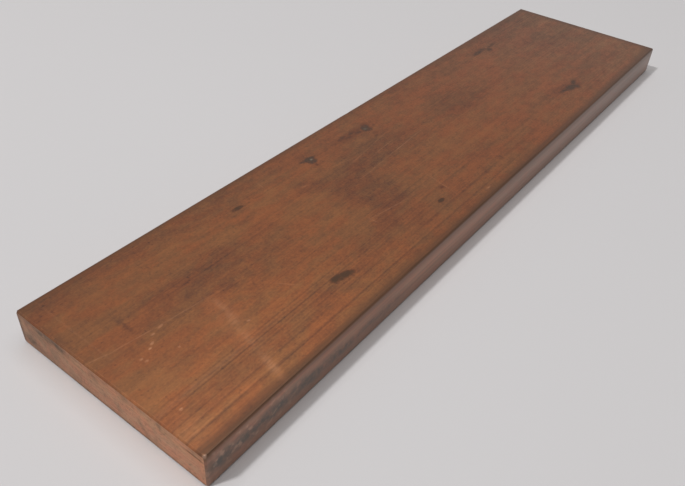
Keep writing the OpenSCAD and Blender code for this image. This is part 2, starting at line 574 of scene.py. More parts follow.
def carried_section(x, points, outward, bevel, upright):
    """The section carried along X, sunk by its relief along its outward directions.

    At the ends the bevel draws it in towards its middle, by a width that the file left uneven. The knocked
    corner is pushed in equally along all three directions.
    """
    ends_apart = 3
    y, z = points[:, 0][None], points[:, 1][None]
    left, up = outward[:, 0][None], outward[:, 1][None]
    sunk = relief_depth(x, y, z, up, left)
    from_end = HALF_LENGTH - np.abs(x)
    noise_up = np.sign(x) * ends_apart + z / FILED_UNEVEN.second
    uneven = 1 + FILED_UNEVEN.depth * smooth_noise(y / FILED_UNEVEN.first, noise_up, BEVEL_SEED)
    draw_in = np.clip(1 - from_end / bevel, 0, 1)
    draw_in = np.where(draw_in > 0, draw_in * uneven, 0)
    section_y = (y - left * sunk) * (1 - upright * draw_in / HALF_WIDTH)
    section_z = (z - up * sunk) * (1 - bevel * draw_in / MID_HEIGHT)
    body = np.stack([np.broadcast_to(x, section_y.shape), section_y, section_z + MID_HEIGHT], -1)
    return body + knock_depth(body)[..., None] * np.array([1, 1, -1]) / math.sqrt(3)


def quads(grid):
    """Corners of the faces of a grid of values, as rows of four: each value and the next ones both ways."""
    parts = (grid[:-1, :-1], grid[:-1, 1:], grid[1:, 1:], grid[1:, :-1])
    return np.stack(parts, 2).reshape(-1, 4, *grid.shape[2:])


def side_patches(numbers, body, runs):
    """The four sides of the carried section, each laid out along its own room of the UV map."""
    along = UV_MARGIN + (1 - 2 * UV_MARGIN) * (body[:, 0, 0] + HALF_LENGTH) / LENGTH
    patches = []
    start = 0
    for (points, _), (low, high), slot in zip(runs, SIDE_ROOMS, SIDE_SLOTS):
        count = len(points) - 1
        grid = numbers[:, (start + np.arange(count + 1)) % numbers.shape[1]]
        gaps = np.linalg.norm(np.diff(points, axis=0), axis=1)
        over = np.concatenate([[0], np.cumsum(gaps)]) / gaps.sum()
        u, v = np.meshgrid(along, low + (high - low) * over, indexing="ij")
        patches.append(Patch(quads(grid), slot, quads(np.stack([u, v], -1))))
        start += count
    return patches


def filled(top, under, left, right):
    """The patch between four runs of points: the sum of the two rulings less the bilinear of its corners."""
    s = ((top[:, 0] - top[0, 0]) / (top[-1, 0] - top[0, 0]))[None, :, None]
    t = ((left[:, 1] - top[0, 1]) / (under[0, 1] - top[0, 1]))[:, None, None]
    patch = (1 - t) * top[None] + t * under[None]
    patch = patch + (1 - s) * left[:, None] + s * right[:, None]
    patch = patch - (1 - t) * ((1 - s) * top[0] + s * top[-1])
    return patch - t * ((1 - s) * under[0] + s * under[-1])


def end_patch(end, ring, points, counts, first, bevel):
    """A sawn end, 0 near or 1 far: its inner vertices, numbered from the first, and its patch.

    It fills the ring of the section's last row and sinks by the saw's marks, and the near one by its groove.
    """
    across, up = counts
    starts = np.cumsum((0, across, up, across))
    top, right, under, left = (
        (start + np.arange(count + 1)) % len(ring) for start, count in zip(starts, (across, up) * 2)
    )
    under, left = under[::-1], left[::-1]
    inner = filled(*(points[side, 1:] for side in (top, under, left, right)))[1:-1, 1:-1]
    y, z = inner[..., 0], inner[..., 1]
    margin = np.minimum(HALF_WIDTH - np.abs(y), MID_HEIGHT - np.abs(z - MID_HEIGHT)) - bevel
    depth = saw_depth(y, z, SAW_SEEDS[end]) * np.clip(margin / SAW_MARGIN, 0, 1)
    if end == 0:
        depth = depth + groove_depth(y, z)
    x = (HALF_LENGTH - depth) * (-1, 1)[end]
    grid = np.empty((up + 1, across + 1), int)
    grid[0], grid[-1], grid[:, 0], grid[:, -1] = ring[top], ring[under], ring[left], ring[right]
    grid[1:-1, 1:-1] = first + np.arange(y.size).reshape(y.shape)
    low, high = END_ROOM
    u, v = np.meshgrid(np.arange(across + 1) / across, np.arange(up + 1) / up)
    u = UV_MARGIN + (0.5 - 2 * UV_MARGIN) * u + 0.5 * end
    places = np.stack([u, low + (high - low) * v], -1)
    turned = slice(None, None, -1) if end == 0 else slice(None)
    vertices = np.stack([x, y, z], -1).reshape(-1, 3)
    return vertices, Patch(quads(grid)[:, turned], END_SLOT, quads(places)[:, turned])


def bar_surface(shape):
    """The whole bar as one closed surface: vertices, faces, material slot numbers and UV places.

    The drawn section is carried along X, and each end is filled between the section's four sides.
    """
    radius = shape.corner_radius / MM
    bevel = shape.end_bevel / MM
    upright = shape.upright_bevel / MM
    flat_steps = (shape.columns_across, shape.columns_up)
    turns = [math.pi / 2 * side for side in (1, 2, 3, 4)]
    runs = [section_run(turn, steps, radius) for turn, steps in zip(turns, flat_steps * 2)]
    points, outward = (np.concatenate([run[part][:-1] for run in runs]) for part in (0, 1))
    body = carried_section(rows_along(bevel, shape.rows)[:, None], points, outward, bevel, upright)
    numbers = np.arange(body[..., 0].size).reshape(body.shape[:2])
    vertices = [body.reshape(-1, 3)]
    patches = side_patches(numbers, body, runs)
    counts = [steps + 2 * ARC_STEPS for steps in flat_steps]
    for end, row in enumerate((0, -1)):
        first = sum(map(len, vertices))
        inner, patch = end_patch(end, numbers[row], body[row], counts, first, bevel)
        vertices.append(inner)
        patches.append(patch)
    faces = np.concatenate([patch.faces for patch in patches])
    slots = np.concatenate([np.full(len(patch.faces), patch.slot) for patch in patches])
    places = np.concatenate([patch.places for patch in patches])
    return np.concatenate(vertices), faces, slots, places


def new_mesh_object(name, vertices, faces, face_slots, places_uv):
    """A smooth mesh object at the origin, with its material slots' numbers and one UV map."""
    mesh = bpy.data.meshes.new(name)
    mesh.from_pydata((vertices * MM).tolist(), [], faces.tolist())
    mesh.polygons.foreach_set("material_index", face_slots)
    mesh.polygons.foreach_set("use_smooth", np.ones(len(faces), bool))
    layer = mesh.uv_layers.new(name="OFBake")
    layer.data.foreach_set("uv", places_uv.ravel())
    mesh.update()
    piece = bpy.data.objects.new(name, mesh)
    bpy.context.scene.collection.objects.link(piece)
    return piece


# Noise of the streaks
STREAK_GRAIN = Grain(1.0, 3.0, 0.55)
# Redder and greener casts of the copper, and how streaks change one into the other
WARM_CAST = (1.045, 0.965, 0.94)
COOL_CAST = (0.957, 1.035, 1.03)
CAST_CHANGE = Fade(0.36, 0.64)


class Wiring:
    """Adds nodes to one node tree and links them. Each call gives the socket that holds its result."""

    def __init__(self, tree):
        self.tree = tree

    def put(self, kind, inputs=(), **settings):
        """A node of that kind with its settings, and its inputs linked to sockets or set to values."""
        node = self.tree.nodes.new(kind)
        for name, value in settings.items():
            setattr(node, name, value)
        for key, value in dict(inputs).items():
            if isinstance(value, bpy.types.NodeSocket):
                self.tree.links.new(value, node.inputs[key])
            else:
                node.inputs[key].default_value = value
        return node

    def math(self, operation, *values, clamp=False):
        """One sum of numbers."""
        return self.put("ShaderNodeMath", enumerate(values), operation=operation, use_clamp=clamp).outputs[0]

    def vector(self, operation, *values):
        """One sum of vectors."""
        return self.put("ShaderNodeVectorMath", enumerate(values), operation=operation).outputs[0]

    def distance(self, place):
        """The length of a vector."""
        return self.put("ShaderNodeVectorMath", {0: place}, operation="LENGTH").outputs["Value"]

    def split(self, place):
        """The three parts of a vector, by name."""
        return self.put("ShaderNodeSeparateXYZ", {0: place}).outputs

    def fade(self, value, start, end, at_start=0.0, at_end=1.0):
        """A smooth step from one result at the start to another at the end."""
        names = {"Value": value, "From Min": start, "From Max": end, "To Min": at_start, "To Max": at_end}
        return self.put("ShaderNodeMapRange", names, interpolation_type="SMOOTHSTEP").outputs[0]

    def blend(self, factor, first, second, way="MIX"):
        """Two colours blended by a factor."""
        inputs = {0: factor, 6: colour(first), 7: colour(second)}
        return self.put("ShaderNodeMix", inputs, data_type="RGBA", blend_type=way).outputs[2]

    def noise(self, place, grain, output=0):
        """Noise over a place, from 0 to 1."""
        inputs = dict(zip(("Vector", "Scale", "Detail", "Roughness"), (place, *grain)))
        return self.put("ShaderNodeTexNoise", inputs).outputs[output]

    def use(self, tree, **inputs):
        """A node group placed with its own values."""
        named = {name.replace("_", " ").title(): value for name, value in inputs.items()}
        return self.put("ShaderNodeGroup", named, node_tree=tree).outputs[0]

    def bar_place(self):
        """The place on the bar, in millimetres."""
        origin = self.put("ShaderNodeTexCoord").outputs["Object"]
        return self.put("ShaderNodeMapping", {"Vector": origin, "Scale": (1 / MM,) * 3}).outputs[0]


def colour(value):
    """A colour with its alpha, or the socket that was given."""
    return value if isinstance(value, bpy.types.NodeSocket) else (*value, 1.0)


def new_group(name, vectors, numbers, result="Value"):
    """An empty node group with those inputs, its wiring, and its inputs' sockets by name.

    Its result is a value, or a colour that changes the colour it is given as its base.
    """
    tree = bpy.data.node_groups.new(name, "ShaderNodeTree")
    kinds = {"Value": "NodeSocketFloat", "Color": "NodeSocketColor"}
    bases = ("Base",) if result == "Color" else ()
    inputs = ((vectors, "NodeSocketVector"), (numbers, kinds["Value"]), (bases, kinds["Color"]))
    for labels, kind in inputs:
        for label in labels:
            tree.interface.new_socket(label, in_out="INPUT", socket_type=kind)
    tree.interface.new_socket(result, in_out="OUTPUT", socket_type=kinds[result])
    given = tree.nodes.new("NodeGroupInput").outputs
    return tree, Wiring(tree), given


def end_group(wires, result):
    """Links a group's result to its output."""
    wires.put("NodeGroupOutput", {0: result})


def stain_group():
    """Mask of a soft oval: 1 within it and 0 outside, by the length of the place measured in half sizes."""
    tree, wires, given = new_group("Stain", ("Place", "Middle", "Half Size"), ("Turn", "Softness"))
    offset = wires.vector("SUBTRACT", given["Place"], given["Middle"])
    turning = {"Vector": offset, "Angle": given["Turn"]}
    turned = wires.put("ShaderNodeVectorRotate", turning, rotation_type="Z_AXIS", invert=True).outputs[0]
    reach = wires.distance(wires.vector("DIVIDE", turned, given["Half Size"]))
    inside = wires.math("SUBTRACT", 1.0, given["Softness"])
    outside = wires.math("ADD", 1.0, given["Softness"])
    end_group(wires, wires.fade(reach, inside, outside, 1.0, 0.0))
    return tree


def drawn_noise(wires, given):
    """Noise drawn out along the bar: its place is divided by a length along X and a width across it."""
    place = wires.vector("DIVIDE", given["Place"], given["Spread"])
    return wires.noise(wires.vector("ADD", place, given["Seed"]), STREAK_GRAIN)


def streak_group():
    """Streaks along the bar, from 0 to 1."""
    tree, wires, given = new_group("Drawn Streaks", ("Place", "Spread"), ("Seed",))
    end_group(wires, drawn_noise(wires, given))
    return tree


def cast_group():
    """A colour given a redder or greener cast, in streaks."""
    tree, wires, given = new_group("Copper Cast", ("Place", "Spread"), ("Seed",), "Color")
    change = wires.fade(drawn_noise(wires, given), *CAST_CHANGE)
    cast = wires.blend(change, WARM_CAST, COOL_CAST)
    end_group(wires, wires.blend(1.0, given["Base"], cast, "MULTIPLY"))
    return tree


def break_group():
    """A factor about 1 that breaks a mask up: noise above or below its middle, times a strength."""
    tree, wires, given = new_group("Breaks", ("Place",), ("Scale", "Detail", "Roughness", "Strength"))
    noise = wires.noise(given["Place"], (given["Scale"], given["Detail"], given["Roughness"]))
    centred = wires.math("SUBTRACT", noise, 0.5)
    end_group(wires, wires.math("MULTIPLY_ADD", centred, given["Strength"], 1.0))
    return tree


def corner_group():
    """Mask of the long corners: 1 at the bar's four corner lines, and 0 from the reach on."""
    tree, wires, given = new_group("Long Corners", ("Place",), ("Reach",))
    parts = wires.split(given["Place"])
    sideways = wires.math("SUBTRACT", HALF_WIDTH, wires.math("ABSOLUTE", parts["Y"]))
    height = wires.math("SUBTRACT", parts["Z"], MID_HEIGHT)
    upwards = wires.math("SUBTRACT", MID_HEIGHT, wires.math("ABSOLUTE", height))
    squares = [wires.math("MULTIPLY", side, side) for side in (sideways, upwards)]
    distance = wires.math("SQRT", wires.math("ADD", *squares))
    end_group(wires, wires.fade(distance, 0.0, given["Reach"], 1.0, 0.0))
    return tree


def end_edge_group():
    """Mask of the filed edges of the two ends: 1 within half the reach of an end, 0 from the reach on."""
    tree, wires, given = new_group("Filed Edges", ("Place",), ("Reach",))
    parts = wires.split(given["Place"])
    from_end = wires.math("SUBTRACT", HALF_LENGTH, wires.math("ABSOLUTE", parts["X"]))
    half_reach = wires.math("MULTIPLY", given["Reach"], 0.5)
    end_group(wires, wires.fade(from_end, half_reach, given["Reach"], 1.0, 0.0))
    return tree


def corner_highlight_group():
    """Mask of the painted highlight at the near right top corner: 1 within half the reach of the corner's
    point, 0 from the reach on.
    """
    tree, wires, given = new_group("Corner Highlight", ("Place",), ("Reach",))
    distance = wires.distance(wires.vector("SUBTRACT", given["Place"], DENTED_CORNER_WITH_HIGHLIGHT))
    half_reach = wires.math("MULTIPLY", given["Reach"], 0.5)
    end_group(wires, wires.fade(distance, half_reach, given["Reach"], 1.0, 0.0))
    return tree


def new_material(name):
    """A material with an empty node tree."""
    material = bpy.data.materials.new(name)
    material.use_nodes = True
    material.node_tree.nodes.clear()
    return material


# Noise that makes the edges of marks ragged
RAGGED_GRAIN = Grain(1.0, 3.0, 0.6)
# Share of the painted highlight at the near right top corner
CORNER_HIGHLIGHT_SHARE = 0.45
# Roughness of clean copper
COPPER_ROUGHNESS = 0.38
# Full on the right-hand side, and nothing on the left
RIGHT_SIDE = Fade(-10.0, 10.0, 1.0, 0.0)


class CopperFace(Wiring):
    """The wiring of a face's copper. It knows the place on the bar, its parts, and two of them laid flat."""

    def __init__(self, name, groups, finish, first, second):
        self.material = new_material(name)
        super().__init__(self.material.node_tree)
        self.groups = groups
        self.finish = finish
        self.place = self.bar_place()
        self.parts = self.split(self.place)
        flat = {0: self.parts[first], 1: self.parts[second]}
        self.flat = self.put("ShaderNodeCombineXYZ", flat).outputs[0]

    def over(self, axis, change):
        """A fade along one of the bar's three directions."""
        return self.fade(self.parts[axis], *change)

    def over_both(self, first, second):
        """The product of two fades, each an axis and a change."""
        return self.math("MULTIPLY", self.over(*first), self.over(*second))

    def streaks(self, spread, seed):
        """Noise drawn out by a spread, from 0 to 1."""
        return self.use(self.groups["streak"], place=self.place, spread=spread, seed=seed)

    def near_to(self, form, reach):
        """Mask of the long corners, the filed edges or the knocked corner."""
        return self.use(self.groups[form], place=self.place, reach=reach)

    def ragged(self, edge):
        """The flat place moved by noise, up to half the ragged edge's shift each way."""
        noise = self.noise(self.vector("DIVIDE", self.flat, (*edge.waves, 1.0)), RAGGED_GRAIN, output=1)
        shift = self.vector("SUBTRACT", noise, (0.5, 0.5, 0.5))
        return self.vector("ADD", self.flat, self.vector("MULTIPLY", shift, (*edge.shift, 0.0)))

    def marks(self, marks, edge=None):
        """The strongest of a list of marks at each place, with ragged edges where they are given."""
        place = self.flat if edge is None else self.ragged(edge)
        total = None
        for mark in marks:
            oval = self.use(
                self.groups["stain"], place=place, middle=(mark.x, mark.y, 0.0),
                half_size=(mark.half_length, mark.half_width, 1.0),
                turn=math.radians(mark.turn), softness=mark.softness,
            )
            oval = self.math("MULTIPLY", oval, mark.strength)
            total = oval if total is None else self.math("MAXIMUM", total, oval)
        return total

    def breaks(self, grain, strength):
        """A factor that breaks a mask up by a noise."""
        return self.use(self.groups["break"], place=self.flat, strength=strength, **grain._asdict())

    def with_cast(self, base, spread, seed):
        """A colour given a redder or greener cast."""
        return self.use(self.groups["cast"], place=self.place, spread=spread, seed=seed, base=base)

    def with_knock(self, base, reach):
        """A colour with a painted highlight at the near right top corner."""
        knock = self.math("MULTIPLY", self.near_to("knock", reach), CORNER_HIGHLIGHT_SHARE)
        return self.blend(knock, base, self.finish.knocked_copper)

    def end(self, base, roughness, metallic, height, depth):
        """Adds the copper shader, with a bump whose height is in shares of a depth. Gives the material."""
        relief = {"Height": height, "Distance": depth * MM, "Strength": 1.0}
        bump = self.put("ShaderNodeBump", relief).outputs[0]
        shader = {"Base Color": base, "Roughness": roughness, "Metallic": metallic, "Normal": bump}
        surface = self.put("ShaderNodeBsdfPrincipled", shader)
        self.put("ShaderNodeOutputMaterial", {"Surface": surface.outputs[0]})
        return self.material


# Tarnish of a broad face: thinnest at the near right, and thicker to the left and towards the far end
NEAR_TARNISH = Fade(-HALF_LENGTH, -50.0, 0.36, 0.44)
FAR_TARNISH = Fade(60.0, HALF_LENGTH, 0.0, 0.10)
LEFTWARD = Fade(-25.0, 8.0)
LEFT_TARNISH = Fade(-HALF_LENGTH, 60.0, 0.26, 0.04)
# Strength of its pattern: calmer at the near end, and a little stronger past the middle
NEAR_PATTERN = Fade(-HALF_LENGTH, -105.0, 0.74, 1.0)
FAR_PATTERN = Fade(-60.0, 20.0, 0.0, 0.10)
# Thicker tarnish in small pits
PIT_GRAIN = Grain(1.0, 2.0, 0.5)
PIT_TARNISH = Fade(0.60, 0.76, 0.0, 0.35)

# The crowded lines: which streaks show, where they crowd, their share elsewhere, and how bands gather them
CROWDED_SHOWN = Fade(0.50, 0.68)
CROWD_ACROSS = Fade(-12.0, -24.0)
CROWD_ALONG = Fade(30.0, -120.0)
CROWD_ELSEWHERE = 0.25
GATHER_SPREAD = (70.0, 2.6, 2.6)
GATHERED = Fade(0.40, 0.62)

# What thickens or thins the top's tarnish: the sum, the marks and their ragged edge
PATCH_EDGE = RaggedEdge((16.0, 3.0), (22.0, 6.0))
FIRM_EDGE = RaggedEdge((7.0, 3.0), (8.0, 4.0))
SMUDGE_EDGE = RaggedEdge((2.5, 1.6), (3.0, 2.0))
TARNISH_LAYERS = (
    ("ADD", TARNISH_PATCHES, PATCH_EDGE),
    ("SUBTRACT", THIN_PATCHES, PATCH_EDGE),
    ("ADD", FIRM_PATCHES, FIRM_EDGE),
    ("ADD", TARNISH_SMUDGES, SMUDGE_EDGE),
)

# Redder tarnish past the middle of a broad face, and greener at the far end
FACE_CAST_SPREAD = (11.0, 5.0, 5.0)
MIDDLE_CAST = (1.0, 0.935, 0.89)
PAST_MIDDLE = Fade(-30.0, 40.0)
SHORT_OF_FAR = Fade(75.0, 130.0, 1.0, 0.0)
FAR_CAST = (0.99, 1.04, 1.03)
FAR_STRETCH = Fade(120.0, 150.0)

# Dark tarnish along the long corners of a broad face, and how streaks and sides vary it
CORNER_REACH = Fade(-60.0, 100.0, 4.0, 5.2)
NEAR_CORNER_REACH = Fade(-120.0, -145.0, 0.0, 1.6)
CORNER_SPREAD = (22.0, 0.6, 0.6)
CORNER_UNEVEN = Fade(0.35, 0.60, 0.70, 1.0)
CORNER_SIDES = Fade(-10.0, 10.0, 1.0, 0.65)
# The black rim of the right-hand corner
RIM_REACH = Fade(-125.0, -95.0, 1.6, 0.9)
RIM_SHARE = Fade(-125.0, -95.0, 0.85, 0.35)
# Darker filed edges at both ends, and a darker stretch before the far one
FACE_FILED_REACH = 0.7
FACE_FILED_SHARE = 0.12
FAR_EDGE = Fade(HALF_LENGTH - 6.0, HALF_LENGTH, 0.0, 0.7)

# Oxide: how it is broken up, its red rims and its cores
OXIDE_GRAIN = Grain(0.7, 4.0, 0.65)
OXIDE_BREAKS = 2.4
RED_RIM = Fade(0.10, 0.60, 0.0, 0.55)
OXIDE_CORE = Fade(0.20, 0.90, 0.0, 0.95)
# Scratches: their ragged edges, and the scuffs that break them up
SCRATCH_EDGE = RaggedEdge((6.0, 3.0), (0.8, 0.5))
SCUFF_SPREAD = (2.2, 0.5, 0.5)
SCUFF_SHARE = Fade(0.38, 0.62, 0.55, 1.30)
# Reach of the painted corner highlight on the top
TOP_HIGHLIGHT_REACH = 1.4

# What tarnish, filed edges and oxide change in a broad face's roughness and metal, and the depth of its bump
TARNISH_ROUGHNESS = 0.12
FILED_ROUGHNESS = 0.25
OXIDE_ROUGHNESS = 0.15
TARNISH_METAL = -0.15
OXIDE_METAL = -0.25
FACE_BUMP = 0.02

# How far on from a face's own seed each pattern's noise starts
CROWDED_SEED = 9.0
GATHER_SEED = 10.0
CAST_SEED = 20.0
CORNER_SEED = 25.0
SCUFF_SEED = 30.0


def line_marks(lines):
    """Drawn lines as long thin marks."""
    softness = 0.8
    spans = [((line.start + line.end) / 2, (line.end - line.start) / 2) for line in lines]
    return [Mark(middle, line.y, half_length, line.half_width, line.tarnish, softness=softness)
            for line, (middle, half_length) in zip(lines, spans)]


def tarnish_tone(face, seed, lines):
    """How thick a broad face's tarnish is, by its place, a pattern of streaks, and its drawn lines."""
    tone = face.math("ADD", face.over("X", NEAR_TARNISH), face.over("X", FAR_TARNISH))
    tone = face.math("MULTIPLY_ADD", face.over("Y", LEFTWARD), face.over("X", LEFT_TARNISH), tone)
    pattern = 0.0
    for number, streak in enumerate(FACE_STREAKS):
        noise = face.streaks((streak.length, streak.width, streak.width), seed + number)
        pattern = face.math("MULTIPLY_ADD", face.math("SUBTRACT", noise, 0.5), streak.share, pattern)
    calm = face.math("ADD", face.over("X", NEAR_PATTERN), face.over("X", FAR_PATTERN))
    tone = face.math("MULTIPLY_ADD", pattern, calm, tone)
    return face.math("ADD", tone, face.marks(line_marks(lines)))


def top_tone(face, seed, tone):
    """The tone with what only the top has: crowded lines, and patches of thicker or thinner tarnish."""
    spread = (CROWDED_LINES.length, CROWDED_LINES.width, CROWDED_LINES.width)
    crowded = face.fade(face.streaks(spread, seed + CROWDED_SEED), *CROWDED_SHOWN)
    crowd = face.over_both(("Y", CROWD_ACROSS), ("X", CROWD_ALONG))
    crowd = face.math("MULTIPLY_ADD", crowd, 1.0 - CROWD_ELSEWHERE, CROWD_ELSEWHERE)
    gather = face.streaks(GATHER_SPREAD, seed + GATHER_SEED)
    crowd = face.math("MULTIPLY", crowd, face.fade(gather, *GATHERED))
    tone = face.math("MULTIPLY_ADD", face.math("MULTIPLY", crowded, crowd), CROWDED_LINES.share, tone)
    for operation, marks, edge in TARNISH_LAYERS:
        tone = face.math(operation, tone, face.marks(marks, edge))
    return tone


def with_dark_corners(face, base, uneven):
    """A broad face's colour with dark tarnish along its long corners, blackest on the right."""
    reach = face.math("ADD", face.over("X", CORNER_REACH), face.over("X", NEAR_CORNER_REACH))
    band = face.math("MULTIPLY", face.near_to("corner", reach), face.fade(uneven, *CORNER_UNEVEN))
    band = face.math("MULTIPLY", band, face.over("Y", CORNER_SIDES))
    base = face.blend(band, base, face.finish.corner_brown)
    rim = face.near_to("corner", face.over("X", RIM_REACH))
    rim = face.math("MULTIPLY", rim, face.over("X", RIM_SHARE))
    rim = face.math("MULTIPLY", rim, face.over("Y", RIGHT_SIDE))
    return face.blend(rim, base, face.finish.black_oxide)


def with_oxide(face, base):
    """The top's colour with black and brown oxide, red rims and pale specks. Gives the oxide's cores too."""
    finish = face.finish
    breaks = face.breaks(OXIDE_GRAIN, OXIDE_BREAKS)
    lists = (OXIDE_MARKS, BROWN_MARKS, RED_MARKS)
    black, brown, red = (face.math("MULTIPLY", face.marks(marks), breaks) for marks in lists)
    oxide = face.math("MAXIMUM", black, brown)
    layers = (
        (face.fade(oxide, *RED_RIM), finish.red_oxide),
        (red, finish.red_oxide),
        (face.fade(black, *OXIDE_CORE), finish.black_oxide),
        (face.fade(brown, *OXIDE_CORE), finish.brown_oxide),
        (face.marks(PALE_SPECKS), finish.pale_speck),
    )
    for mask, tint in layers:
        base = face.blend(mask, base, tint)
    return base, face.fade(oxide, *OXIDE_CORE)


def with_scratches(face, base, seed):
    """The top's colour with scratches and a lighter band, broken up by fine scuffs."""
    scuffs = face.fade(face.streaks(SCUFF_SPREAD, seed + SCUFF_SEED), *SCUFF_SHARE)
    bright = face.math("MULTIPLY", face.marks(BRIGHT_MARKS, SCRATCH_EDGE), scuffs)
    return face.blend(bright, base, face.finish.rubbed_copper)


def broad_face(name, finish, groups, seed, lines, is_top):
    """A drawn broad face: copper under tarnish, dark at its corners, with oxide and scratches on top."""
    face = CopperFace(name, groups, finish, "X", "Y")
    tone = tarnish_tone(face, seed, lines)
    if is_top:
        tone = top_tone(face, seed, tone)
    pits = face.fade(face.noise(face.place, PIT_GRAIN), *PIT_TARNISH)
    tone = face.math("MULTIPLY", face.math("ADD", tone, pits), TARNISH_SPAN, clamp=True)
    base = face.blend(tone, finish.drawn_copper, finish.brown_tarnish)

    # Redder and greener casts
    base = face.with_cast(base, FACE_CAST_SPREAD, seed + CAST_SEED)
    middle = face.over_both(("X", PAST_MIDDLE), ("X", SHORT_OF_FAR))
    base = face.blend(middle, base, MIDDLE_CAST, "MULTIPLY")
    base = face.blend(face.over("X", FAR_STRETCH), base, FAR_CAST, "MULTIPLY")

    # Dark corners and ends
    uneven = face.streaks(CORNER_SPREAD, seed + CORNER_SEED)
    base = with_dark_corners(face, base, uneven)
    filed = face.near_to("end_edge", FACE_FILED_REACH)
    base = face.blend(face.math("MULTIPLY", filed, FACE_FILED_SHARE), base, finish.corner_brown)
    base = face.blend(face.over("X", FAR_EDGE), base, finish.corner_brown)
    roughness = face.math("MULTIPLY_ADD", tone, TARNISH_ROUGHNESS, COPPER_ROUGHNESS)
    roughness = face.math("MULTIPLY_ADD", filed, FILED_ROUGHNESS, roughness)
    metallic = face.math("MULTIPLY_ADD", tone, TARNISH_METAL, 1.0)
    if is_top:
        base, core = with_oxide(face, base)
        base = with_scratches(face, base, seed)
        # Painted highlight at the near right top corner
        base = face.with_knock(base, TOP_HIGHLIGHT_REACH)
        roughness = face.math("MULTIPLY_ADD", core, OXIDE_ROUGHNESS, roughness)
        metallic = face.math("MULTIPLY_ADD", core, OXIDE_METAL, metallic, clamp=True)
    return face.end(base, roughness, metallic, uneven, FACE_BUMP)


# Film of a narrow edge: pinker towards the near end, with fine streaks
EDGE_NEARNESS = Fade(-100.0, 150.0, 1.0, 0.0)
EDGE_SPREAD = (45.0, 0.8, 0.8)
EDGE_STREAK_SEED = 13.0
EDGE_STREAKS = Fade(0.42, 0.72, 0.0, 0.4)
EDGE_CAST_SPREAD = (5.0, 2.0, 2.0)
EDGE_CAST_SEED = 37.0
# Blotches of the right-hand edge, and its pale spots close to the near end
BLOTCH_GRAIN = Grain(0.4, 4.0, 0.70)
BLOTCH_BREAKS = 2.8
SPOT_GRAIN = Grain(0.42, 2.0, 0.5)
SPOT_SHARE = Fade(0.52, 0.70, 0.0, 0.42)
SPOTTED_STRETCH = Fade(-142.0, -112.0, 1.0, 0.0)
# Dark band below the top corner, painted light at the foot, thin dark rims (painted contact shade along the
# bottom) and filed ends
BAND_FOOT = Fade(-140.0, -90.0, THICKNESS - 2.8, THICKNESS - 5.0)
BAND_TOP = THICKNESS - 0.3
BAND_SHARE = 0.72
PAINTED_FOOT_LIGHT = Fade(1.5, 6.0, 0.5, 0.0)
EDGE_RIM_REACH = 0.8
EDGE_RIM_SHARE = Fade(2.0, THICKNESS - 2.0, 0.6, 0.75)
EDGE_FILED_REACH = 3.2
EDGE_FILED_SHARE = 0.35
# Reach of the painted corner highlight on an edge and an end
SIDE_HIGHLIGHT_REACH = 1.2
# What blotches change in an edge's roughness and metal, and the depth of its bump
BLOTCH_ROUGHNESS = 0.12
BLOTCH_METAL = -0.25
EDGE_METAL = 0.85
EDGE_BUMP = 0.006


def narrow_edge(finish, groups):
    """A narrow drawn edge: smooth grey-pink film, redder and blotched dark towards the near end."""
    face = CopperFace("edge_copper", groups, finish, "X", "Z")
    base = face.blend(face.over("X", EDGE_NEARNESS), finish.edge_film, finish.edge_pink)
    fine = face.streaks(EDGE_SPREAD, EDGE_STREAK_SEED)
    base = face.blend(face.fade(fine, *EDGE_STREAKS), base, finish.edge_stain)
    base = face.with_cast(base, EDGE_CAST_SPREAD, EDGE_CAST_SEED)

    # Blotches and pale spots on the right-hand edge
    breaks = face.breaks(BLOTCH_GRAIN, BLOTCH_BREAKS)
    stains = face.math("MULTIPLY", face.marks(EDGE_STAINS), breaks, clamp=True)
    stains = face.math("MULTIPLY", stains, face.over("Y", RIGHT_SIDE))
    base = face.blend(stains, base, finish.edge_stain)
    spots = face.fade(face.noise(face.flat, SPOT_GRAIN), *SPOT_SHARE)
    spots = face.math("MULTIPLY", spots, face.over_both(("X", SPOTTED_STRETCH), ("Y", RIGHT_SIDE)))
    base = face.blend(spots, base, finish.knocked_copper)

    # Dark tarnish below the top corners, painted light at the foot, and thin dark lines along all four
    # corners
    band = face.fade(face.parts["Z"], face.over("X", BAND_FOOT), BAND_TOP, 0.0, BAND_SHARE)
    base = face.blend(band, base, finish.corner_brown)
    # Painted light from the floor: paler towards the foot
    base = face.blend(face.over("Z", PAINTED_FOOT_LIGHT), base, finish.edge_foot)
    # Along the bottom corners, where the bar meets the floor, these dark lines are painted contact shade
    rim = face.math("MULTIPLY", face.near_to("corner", EDGE_RIM_REACH), face.over("Z", EDGE_RIM_SHARE))
    base = face.blend(rim, base, finish.black_oxide)
    filed = face.math("MULTIPLY", face.near_to("end_edge", EDGE_FILED_REACH), EDGE_FILED_SHARE)
    base = face.blend(filed, base, finish.corner_brown)
    # Painted highlight at the near right top corner
    base = face.with_knock(base, SIDE_HIGHLIGHT_REACH)
    roughness = face.math("MULTIPLY_ADD", stains, BLOTCH_ROUGHNESS, COPPER_ROUGHNESS)
    metallic = face.math("MULTIPLY_ADD", stains, BLOTCH_METAL, EDGE_METAL)
    return face.end(base, roughness, metallic, fine, EDGE_BUMP)


